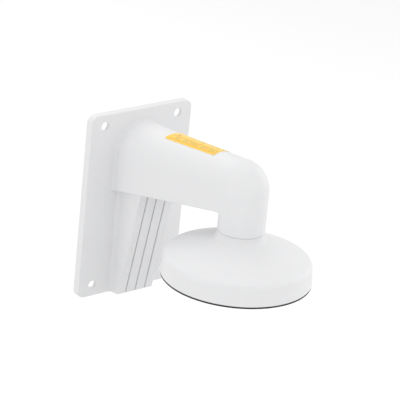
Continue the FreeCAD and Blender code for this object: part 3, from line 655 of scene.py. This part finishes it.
class Bench:
    """The few moves that every new piece is made with."""

    @staticmethod
    def clear() -> None:
        """Deselect everything, so that the next operator acts on its own piece only."""
        if bpy.context.mode != "OBJECT":
            bpy.ops.object.mode_set(mode="OBJECT")
        bpy.ops.object.select_all(action="DESELECT")

    @staticmethod
    def edit(piece: bpy.types.Object) -> None:
        """Open a piece in edit mode with nothing in it selected.

        Args:
            piece: The piece.
        """
        Bench.clear()
        piece.select_set(True)
        bpy.context.view_layer.objects.active = piece
        bpy.ops.object.mode_set(mode="EDIT")
        bpy.ops.mesh.select_all(action="DESELECT")

    @staticmethod
    def pick(piece: bpy.types.Object, chosen: object, kind: str = "VERT") -> None:
        """Select the vertices or faces of the open piece that pass a test.

        Args:
            piece: The piece, open in edit mode.
            chosen: A test of a vertex or face.
            kind: VERT or FACE.
        """
        bpy.ops.mesh.select_mode(type=kind)
        bpy.ops.mesh.select_all(action="DESELECT")
        bpy.ops.object.mode_set(mode="OBJECT")
        mesh = piece.data
        for part in mesh.polygons if kind == "FACE" else mesh.vertices:
            part.select = bool(chosen(part))
        bpy.ops.object.mode_set(mode="EDIT")

    @staticmethod
    def apply(piece: bpy.types.Object, kind: str, **settings: object) -> None:
        """Add a modifier to a piece and apply it.

        Args:
            piece: The piece.
            kind: The modifier's type.
            **settings: Properties of the modifier and their values.
        """
        Bench.clear()
        piece.select_set(True)
        bpy.context.view_layer.objects.active = piece
        modifier = piece.modifiers.new(kind.lower(), kind)
        for name, value in settings.items():
            setattr(modifier, name, value)
        bpy.ops.object.modifier_apply(modifier=modifier.name)

    @staticmethod
    def settle(piece: bpy.types.Object, smooth_degrees: float) -> None:
        """Put a piece's place into its mesh and shade it smooth up to an angle.

        Args:
            piece: The piece.
            smooth_degrees: The angle past which an edge stays sharp.
        """
        Bench.clear()
        piece.select_set(True)
        bpy.context.view_layer.objects.active = piece
        bpy.ops.object.transform_apply(location=True, rotation=True, scale=True)
        bpy.ops.object.shade_smooth_by_angle(angle=math.radians(smooth_degrees))
        Bench.clear()

    @staticmethod
    def turn(name: str, corners: list, rounding: float, axis: Vector, steps: int) -> bpy.types.Object:
        """Turn a closed profile round an upright axis.

        Args:
            name: The piece's name.
            corners: The profile's corners as radius and height.
            rounding: The radius that each corner is rounded by.
            axis: A point on the axis.
            steps: How many steps the turn has.

        Returns:
            The turned piece, with its place still in its mesh.
        """
        Bench.clear()
        start = Vector((axis.x + corners[0][0], axis.y, corners[0][1]))
        bpy.ops.mesh.primitive_plane_add(size=MM, location=(0.0, 0.0, 0.0))
        piece = bpy.context.object
        piece.name = name
        Bench.edit(piece)
        bpy.ops.mesh.select_all(action="SELECT")
        bpy.ops.mesh.merge(type="CENTER")
        bpy.ops.mesh.select_mode(type="VERT")
        bpy.ops.mesh.select_all(action="SELECT")
        bpy.ops.transform.translate(value=start)
        for before, after in zip(corners, corners[1:]):
            step = Vector((after[0] - before[0], 0.0, after[1] - before[1]))
            bpy.ops.mesh.extrude_region_move(TRANSFORM_OT_translate={"value": step})
        bpy.ops.mesh.select_all(action="SELECT")
        bpy.ops.mesh.edge_face_add()
        bpy.ops.mesh.select_all(action="SELECT")
        bpy.ops.mesh.bevel(offset=rounding, segments=3, affect="VERTICES")
        bpy.ops.mesh.select_all(action="SELECT")
        bpy.ops.mesh.delete(type="ONLY_FACE")
        bpy.ops.mesh.select_all(action="SELECT")
        bpy.ops.mesh.spin(steps=steps, angle=math.tau, center=axis, axis=(0.0, 0.0, 1.0))
        bpy.ops.mesh.select_all(action="SELECT")
        bpy.ops.mesh.remove_doubles(threshold=MERGE_WITHIN)
        bpy.ops.mesh.normals_make_consistent(inside=False)
        bpy.ops.object.mode_set(mode="OBJECT")
        return piece


def dress(piece: bpy.types.Object, finish: bpy.types.Material) -> None:
    """Give a piece one finish all over.

    Args:
        piece: The piece or CAD node.
        finish: The material.
    """
    if not piece.material_slots:
        piece.data.materials.append(finish)
    for holder in piece.material_slots:
        holder.link = "OBJECT"
        holder.material = finish
    LOG.info("dressed %s in %s", piece.name, finish.name)


def mount(piece: bpy.types.Object, body: Body, finish: bpy.types.Material) -> None:
    """Fix a new piece to its body and give it its finish.

    Args:
        piece: The piece.
        body: The body that it rides on.
        finish: The material.
    """
    dress(piece, finish)
    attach(piece, body.value)


@dataclass
class WallBracket:
    """The casting with its wall gasket, sticker, earthing screw and the marks in its back."""

    label_length: float = 68.6 * MM
    label_taper: float = 0.86
    label_tilt: float = math.atan(0.129)
    label_lift: float = 0.06 * MM
    label_thickness: float = 0.2 * MM
    label_cells: tuple = (28, 76)
    corner_lift: float = 0.25 * MM
    corner_reach: float = 5.0 * MM
    corner_zone: tuple = (0.415, 0.3 * MM)
    label_start_height: float = 10.0 * MM
    label_end_touch: float = 0.01 * MM
    label_smooth_angle: float = 40.0
    pocket_floor: float = -3.5 * MM
    mark_radius: float = 3.2 * MM
    mark_height: float = 0.25 * MM
    mark_sides: int = 48
    mark_facing: float = 0.9
    mark_lip: float = 0.12
    mark_slope: float = 0.08
    mark_dish: float = 0.6
    mark_edge: float = 0.06 * MM
    mark_smooth_angle: float = 50.0
    mark_columns: tuple = (-38.0 * MM, 38.0 * MM)
    mark_rows: tuple = (-49.5 * MM, -16.5 * MM, 16.5 * MM, 49.5 * MM)
    pieces: list = field(default_factory=list)

    def build(self, paint: bpy.types.Material, rubber: bpy.types.Material) -> None:
        """Make the new pieces and dress everything on the bracket.

        Args:
            paint: The casting's paint.
            rubber: The seals' rubber.
        """
        nodes = frame["nodes"]
        dress(nodes["bracket_casting"], paint)
        dress(nodes["wall_gasket"], rubber)
        screw_steel = Steel("earth_screw_steel", Lay.SCREW_ALONG_Y).material()
        dress(nodes["earth_screw"], screw_steel)
        dress(nodes["earth_washer"], screw_steel)
        self.sticker()
        self.ejector_marks(paint)

    def sticker(self) -> None:
        """Lay the sticker over the arm's round top, with its corners just lifting."""
        low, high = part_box("arm_label")
        width = high.x - low.x
        along = Vector((0.0, -math.cos(self.label_tilt), math.sin(self.label_tilt)))
        up = Vector((0.0, math.sin(self.label_tilt), math.cos(self.label_tilt)))
        far = Vector((0.0, low.y, high.z))
        middle = far - along * (self.label_length / 2) + up * self.label_start_height
        Bench.clear()
        columns, rows = self.label_cells
        bpy.ops.mesh.primitive_grid_add(
            x_subdivisions=columns,
            y_subdivisions=rows,
            size=1.0,
            location=middle,
            rotation=(-self.label_tilt, 0.0, 0.0),
        )
        piece = bpy.context.object
        piece.name = "printed_sticker"
        piece.scale = (width, self.label_length, 1.0)
        Bench.clear()
        piece.select_set(True)
        bpy.ops.object.transform_apply(location=False, rotation=False, scale=True)
        Bench.edit(piece)
        half = self.label_length / 2
        Bench.pick(piece, lambda v: v.co.y < -half + self.label_end_touch)
        bpy.ops.transform.resize(
            value=(self.label_taper, 1.0, 1.0),
            center_override=far,
            use_proportional_edit=True,
            proportional_edit_falloff="LINEAR",
            proportional_size=self.label_length,
        )
        bpy.ops.object.mode_set(mode="OBJECT")
        Bench.apply(
            piece,
            "SHRINKWRAP",
            target=frame["nodes"]["bracket_casting"],
            wrap_method="PROJECT",
            use_project_z=True,
            use_negative_direction=True,
            use_positive_direction=False,
            offset=self.label_lift,
        )
        Bench.edit(piece)
        share, touch = self.corner_zone
        Bench.pick(piece, lambda v: abs(v.co.y) > half - touch and abs(v.co.x) > width * share)
        bpy.ops.transform.translate(
            value=up * self.corner_lift,
            use_proportional_edit=True,
            proportional_edit_falloff="SMOOTH",
            proportional_size=self.corner_reach,
        )
        bpy.ops.object.mode_set(mode="OBJECT")
        Bench.apply(piece, "SOLIDIFY", thickness=self.label_thickness, offset=1.0)
        Bench.settle(piece, self.label_smooth_angle)
        vinyl = PrintedVinyl(self.label_length, width).material()
        mount(piece, Body.BRACKET, vinyl)
        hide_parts("arm_label")
        self.pieces.append(piece)

    def ejector_marks(self, paint: bpy.types.Material) -> None:
        """Raise the round marks that a die's ejector pins leave in the plate's back.

        Args:
            paint: The casting's paint.
        """
        Bench.clear()
        bpy.ops.mesh.primitive_cylinder_add(
            vertices=self.mark_sides,
            radius=self.mark_radius,
            depth=self.mark_height * 2,
            location=(0.0, self.pocket_floor, 0.0),
            rotation=(-math.pi / 2, 0.0, 0.0),
        )
        pattern = bpy.context.object
        Bench.edit(pattern)
        Bench.pick(pattern, lambda f: f.normal.z > self.mark_facing, "FACE")
        bpy.ops.mesh.inset(thickness=self.mark_radius * self.mark_lip, depth=0.0)
        bpy.ops.mesh.inset(
            thickness=self.mark_radius * self.mark_slope,
            depth=-self.mark_height * self.mark_dish,
        )
        bpy.ops.object.mode_set(mode="OBJECT")
        Bench.apply(pattern, "BEVEL", width=self.mark_edge, segments=2)
        Bench.settle(pattern, self.mark_smooth_angle)
        for i, x in enumerate(self.mark_columns):
            for j, z in enumerate(self.mark_rows):
                mark = bpy.data.objects.new(f"ejector_mark_{i + 1}_{j + 1}", pattern.data.copy())
                mark.data.transform(Matrix.Translation((x, 0.0, z)))
                bpy.context.scene.collection.objects.link(mark)
                mount(mark, Body.BRACKET, paint)
                self.pieces.append(mark)
        bpy.data.objects.remove(pattern)


@dataclass
class PendantCap:
    """The round cap with its two seals, its cable grommet and its safety fittings."""

    seal_width: float = 3.2 * MM
    seal_groove: float = 0.35 * MM
    seal_face: float = 1.65 * MM
    groove_share: float = 0.16
    groove_floor: float = 0.6
    tongue_width: float = 1.2 * MM
    grommet_hole: float = 7.0 * MM
    grommet_plug: float = 12.45 * MM
    flange: float = 1.6 * MM
    flange_rings: tuple = (0.3, 0.62)
    plug_steps: tuple = (1.4 * MM, 2.2 * MM, 3.2 * MM, 4.0 * MM)
    plug_chamfer: float = 0.9 * MM
    ridge: float = 0.45 * MM
    smooth_angle: float = 35.0
    rounding: float = 0.12 * MM
    steps: int = 192
    pieces: list = field(default_factory=list)

    def build(self, paint: bpy.types.Material, rubber: bpy.types.Material) -> None:
        """Make the seals and dress everything on the cap.

        Args:
            paint: The casting's paint.
            rubber: The seals' rubber.
        """
        nodes = frame["nodes"]
        dress(nodes["pendant_cap"], paint)
        dress(nodes["neck_washer"], Silicone().material())
        dress(nodes["loop_saddle"], Steel("strap_steel", Lay.ROLLED_STRAP).material())
        dress(nodes["saddle_screws"], Steel("strap_screw_steel", Lay.SCREW_ALONG_Z).material())
        dress(nodes["safety_loop"], Steel("loop_wire_steel", Lay.DRAWN_WIRE).material())
        dress(nodes["lock_screw"], Steel("lock_screw_steel", Lay.SCREW_ALONG_Y).material())
        dress(nodes["lock_pad"], Nylon().material())
        self.rim_seal(rubber)
        self.grommet(rubber)

    def rim_seal(self, rubber: bpy.types.Material) -> None:
        """Turn the rim seal, with a groove that leaves two lips on its lower face.

        Args:
            rubber: The seal's rubber.
        """
        low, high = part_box("rim_gasket")
        axis = neck_axis()
        outer = high.x
        inner = outer - self.seal_width
        middle = (outer + inner) / 2
        face = low.z + self.seal_face
        groove = self.seal_width * self.groove_share
        floor = groove * self.groove_floor
        tongue = self.tongue_width / 2
        corners = [
            (inner, low.z),
            (middle - groove, low.z),
            (middle - floor, low.z + self.seal_groove),
            (middle + floor, low.z + self.seal_groove),
            (middle + groove, low.z),
            (outer, low.z),
            (outer, face),
            (middle + tongue, face),
            (middle + tongue, high.z),
            (middle - tongue, high.z),
            (middle - tongue, face),
            (inner, face),
        ]
        piece = Bench.turn("rim_seal", corners, self.rounding, axis, self.steps)
        Bench.settle(piece, self.smooth_angle)
        mount(piece, Body.CAP, rubber)
        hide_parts("rim_gasket")
        self.pieces.append(piece)

    def grommet(self, rubber: bpy.types.Material) -> None:
        """Turn the cable grommet, with rings moulded in its flange and its plug.

        Args:
            rubber: The grommet's rubber.
        """
        low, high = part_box("cable_grommet")
        outer = high.x
        flange = low.z + self.flange
        reach = outer - self.grommet_hole
        first, second = (self.grommet_hole + reach * share for share in self.flange_rings)
        waist_start, waist_top, waist_end, plug_start = (flange + step for step in self.plug_steps)
        neck = self.grommet_plug - self.ridge
        corners = [
            (self.grommet_hole, low.z),
            (first - self.ridge, low.z),
            (first, low.z + self.ridge),
            (first + self.ridge, low.z),
            (second - self.ridge, low.z),
            (second, low.z + self.ridge),
            (second + self.ridge, low.z),
            (outer, low.z),
            (outer, flange),
            (self.grommet_plug, flange),
            (self.grommet_plug, waist_start),
            (neck, waist_top),
            (neck, waist_end),
            (self.grommet_plug, plug_start),
            (self.grommet_plug, high.z - self.plug_chamfer),
            (self.grommet_plug - self.plug_chamfer, high.z),
            (self.grommet_hole, high.z),
        ]
        piece = Bench.turn("ringed_grommet", corners, self.rounding, neck_axis(), self.steps // 2)
        Bench.settle(piece, self.smooth_angle)
        mount(piece, Body.CAP, rubber)
        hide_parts("cable_grommet")
        self.pieces.append(piece)


@dataclass
class Studio:
    """The floor, the soft light and the camera."""

    azimuth: float = -41.54
    elevation: float = 21.85
    roll: float = 5.77
    distance: float = 2.3
    lens: float = 221.5
    sensor: float = 36.0
    side_step: float = 13.74 * MM
    lift: float = 25.47 * MM
    look_at: tuple = (0.0, -80.0 * MM, 0.0)
    floor_size: float = 40.0
    floor_drop: float = 0.35
    floor_colour: tuple = (0.5, 0.5, 0.5, 1.0)
    floor_rough: float = 0.9
    near_glow: float = 0.1
    far_glow: float = 0.48
    near_reach: float = 0.28
    far_reach: float = 0.42
    sky: float = 0.71
    panels: tuple = (
        ((0.0, 0.0, 2.0), (1.8, 1.8), 7.9),
        ((0.3, 2.0, 1.0), (1.8, 1.8), 11.4),
        ((-2.0, 0.2, 0.7), (1.6, 1.6), 6.8),
        ((2.0, -0.3, 0.7), (1.6, 1.6), 7.4),
        ((0.2, -2.0, 0.9), (1.6, 1.6), 5.8),
    )

    def build(self) -> None:
        """Set up the whole studio."""
        self.floor()
        self.light()
        self.camera()
        bpy.context.scene.view_settings.view_transform = "Standard"

    def floor(self) -> None:
        """Lay the plain pale floor well below the bracket, brighter away from it."""
        Bench.clear()
        low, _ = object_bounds()
        bpy.ops.mesh.primitive_plane_add(size=self.floor_size, location=(0.0, 0.0, low.z - self.floor_drop))
        ground = bpy.context.object
        ground.name = "floor"
        sheet = ShaderSheet("floor_paper")
        x, y, _ = sheet.split(sheet.place.outputs["Object"])
        square = sheet.math("ADD", sheet.math("POWER", x, 2.0), sheet.math("POWER", y, 2.0))
        glow = sheet.node("ShaderNodeMapRange", interpolation_type="SMOOTHSTEP")
        sheet.join(sheet.math("SQRT", square), glow.inputs["Value"])
        sheet.join(self.near_reach, glow.inputs["From Min"])
        sheet.join(self.far_reach, glow.inputs["From Max"])
        sheet.join(self.near_glow, glow.inputs["To Min"])
        sheet.join(self.far_glow, glow.inputs["To Max"])
        paper = sheet.finish(
            base_color=self.floor_colour,
            roughness=self.floor_rough,
            emission_color=(1.0, 1.0, 1.0, 1.0),
            emission_strength=glow.outputs["Result"],
        )
        dress(ground, paper)
        ground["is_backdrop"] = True

    def light(self) -> None:
        """Hang the soft panels and even out the room's own light."""
        world = bpy.data.worlds.new("room")
        world.use_nodes = True
        world.node_tree.nodes["Background"].inputs["Color"].default_value = (1.0, 1.0, 1.0, 1.0)
        world.node_tree.nodes["Background"].inputs["Strength"].default_value = self.sky
        bpy.context.scene.world = world
        aim = Vector(self.look_at)
        for place, size, power in self.panels:
            Bench.clear()
            bpy.ops.object.light_add(type="AREA", location=place)
            panel = bpy.context.object
            panel.data.shape = "RECTANGLE"
            panel.data.size, panel.data.size_y = size
            panel.data.energy = power
            panel.rotation_euler = (Vector(place) - aim).to_track_quat("Z", "Y").to_euler()

    def camera(self) -> None:
        """Place the camera."""
        turn, rise = math.radians(self.azimuth), math.radians(self.elevation)
        back = Vector(
            (math.sin(turn) * math.cos(rise), -math.cos(turn) * math.cos(rise), math.sin(rise))
        )
        right = Vector((math.cos(turn), math.sin(turn), 0.0))
        up = back.cross(right)
        target = Vector(self.look_at) + right * self.side_step + up * self.lift
        tilt = math.radians(self.roll)
        across = right * math.cos(tilt) + up * math.sin(tilt)
        upward = up * math.cos(tilt) - right * math.sin(tilt)
        Bench.clear()
        bpy.ops.object.camera_add()
        viewer = bpy.context.object
        viewer.data.sensor_width = self.sensor
        viewer.data.lens = self.lens
        turned = Matrix((across, upward, back)).transposed().to_4x4()
        viewer.matrix_world = Matrix.Translation(target + back * self.distance) @ turned
        bpy.context.scene.camera = viewer


def main() -> None:
    """Build the bracket, the cap and the studio in order."""
    logging.basicConfig(level=logging.INFO, format="%(name)s: %(message)s")
    paint = PowderCoat().material()
    rubber = SealRubber().material()
    for assembly in (WallBracket(), PendantCap()):
        assembly.build(paint, rubber)
        for piece in assembly.pieces:
            LOG.info("made %s with %d faces", piece.name, len(piece.data.polygons))
    Studio().build()


if __name__ == "__main__":
    main()
